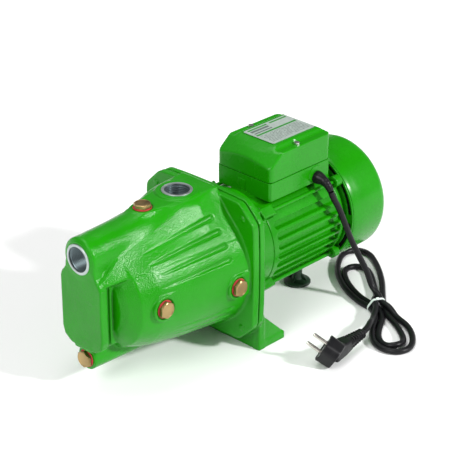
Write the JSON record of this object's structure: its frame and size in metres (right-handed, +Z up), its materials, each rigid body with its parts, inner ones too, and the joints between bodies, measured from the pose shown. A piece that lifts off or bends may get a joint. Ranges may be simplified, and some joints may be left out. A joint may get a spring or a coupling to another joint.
{
  "type": "shallow well jet pump",
  "caption": "Self-priming jet pump: cast casing with suction and discharge ports, motor bracket with foot, finned electric motor, terminal box, fan cover and mains cord.",
  "frame": {"origin": "on the floor under the middle of the pump, cord left out", "axes": "+X along the shaft from the suction port to the fan cover, +Y away from the cord's side, +Z up"},
  "size_m": [0.5034, 0.3144, 0.2338],
  "materials": {
    "green_cast_iron": "gloss green enamel over a slightly rough casting",
    "green_aluminium": "gloss green enamel on die-cast aluminium",
    "green_steel": "green enamel",
    "green_plastic": "smooth green, satin gloss",
    "gasket_rubber": "matte black",
    "foot_rubber": "matte, very dark",
    "cord_rubber": "satin black",
    "brass": "pale brass, dull",
    "nickelled_brass": "nickel plated",
    "red_fibre": "red pressed fibre",
    "zinc_steel": "bright zinc plate",
    "steel": "turned and ground",
    "carbon": "dark graphite and rubber",
    "seal_ceramic": "white, lapped",
    "moulded_resin": "cream moulded resin",
    "lamination": "stacked steel sheet",
    "winding_copper": "varnished copper wire",
    "black_plastic": "satin black",
    "white_plastic": "white moulded",
    "plate_aluminium": "satin silver sheet"
  },
  "bodies": {
    "pump": {"pump_casing": "green_cast_iron", "casing_gasket": "gasket_rubber", "gauge_plug_front": "brass", "gauge_washer_front": "red_fibre", "gauge_plug_rear": "brass", "gauge_washer_rear": "red_fibre", "casing_bolt_1": "zinc_steel", "casing_bolt_2": "zinc_steel", "casing_bolt_3": "zinc_steel", "casing_bolt_4": "zinc_steel", "ejector_nozzle": "moulded_resin", "venturi_tube": "moulded_resin", "venturi_o_ring": "gasket_rubber", "diffuser": "moulded_resin", "seal_seat": "seal_ceramic", "motor_bracket": "green_cast_iron", "rear_foot": "foot_rubber", "front_bearing_outer": "steel", "rear_bearing_outer": "steel", "stator_core": "lamination", "stator_winding": "winding_copper", "motor_housing": "green_aluminium", "tie_rod_1": "green_steel", "tie_rod_2": "green_steel", "tie_rod_3": "green_steel", "tie_rod_4": "green_steel", "rear_end_shield": "green_aluminium", "fan_cover": "green_plastic", "fan_cover_screw_1": "zinc_steel", "fan_cover_screw_2": "zinc_steel", "fan_cover_screw_3": "zinc_steel", "terminal_box_base": "green_plastic", "terminal_box_gasket": "gasket_rubber", "terminal_box_cover": "green_plastic", "terminal_box_screw_1": "zinc_steel", "terminal_box_screw_2": "zinc_steel", "rating_plate": "plate_aluminium", "run_capacitor": "white_plastic", "terminal_block": "white_plastic", "cable_gland": "cord_rubber", "cord_lead": "cord_rubber", "cord_hank": "cord_rubber", "cord_tail": "cord_rubber", "cable_tie": "white_plastic", "mains_plug_body": "black_plastic", "mains_plug_pin_1": "nickelled_brass", "mains_plug_pin_2": "nickelled_brass"},
    "rotating_assembly": {"shaft": "steel", "rotor": "lamination", "impeller": "brass", "impeller_nut": "steel", "seal_head": "carbon", "front_bearing_inner": "steel", "rear_bearing_inner": "steel", "cooling_fan": "black_plastic"},
    "fill_washer": {"fill_plug_washer": "red_fibre"},
    "fill_screw": {"fill_plug": "brass"},
    "drain_washer": {"drain_plug_washer": "red_fibre"},
    "drain_screw": {"drain_plug": "brass"}
  },
  "joints": [
    {"name": "shaft_spin", "type": "hinge", "parent": "pump", "child": "rotating_assembly", "pos_m": [0, 0, 0.11], "axis": [1, 0, 0], "continuous": true},
    {"name": "fill_plug_lift", "type": "slide", "parent": "pump", "child": "fill_washer", "axis": [0, 0, 1], "range_m": [0, 0.012]},
    {"name": "fill_plug_turn", "type": "hinge", "parent": "fill_washer", "child": "fill_screw", "pos_m": [-0.1325, 0, 0.206], "axis": [0, 0, 1], "range_deg": [0, 3230]},
    {"name": "drain_plug_draw", "type": "slide", "parent": "pump", "child": "drain_washer", "axis": [-1, 0, 0], "range_m": [0, 0.012]},
    {"name": "drain_plug_turn", "type": "hinge", "parent": "drain_washer", "child": "drain_screw", "pos_m": [-0.2265, 0, 0.042], "axis": [-1, 0, 0], "range_deg": [0, 3230]}
  ],
  "couplings": [
    {"joint": "fill_plug_lift", "follows": "fill_plug_turn", "m_per_rad": 0.00021279},
    {"joint": "drain_plug_draw", "follows": "drain_plug_turn", "m_per_rad": 0.00021279}
  ]
}
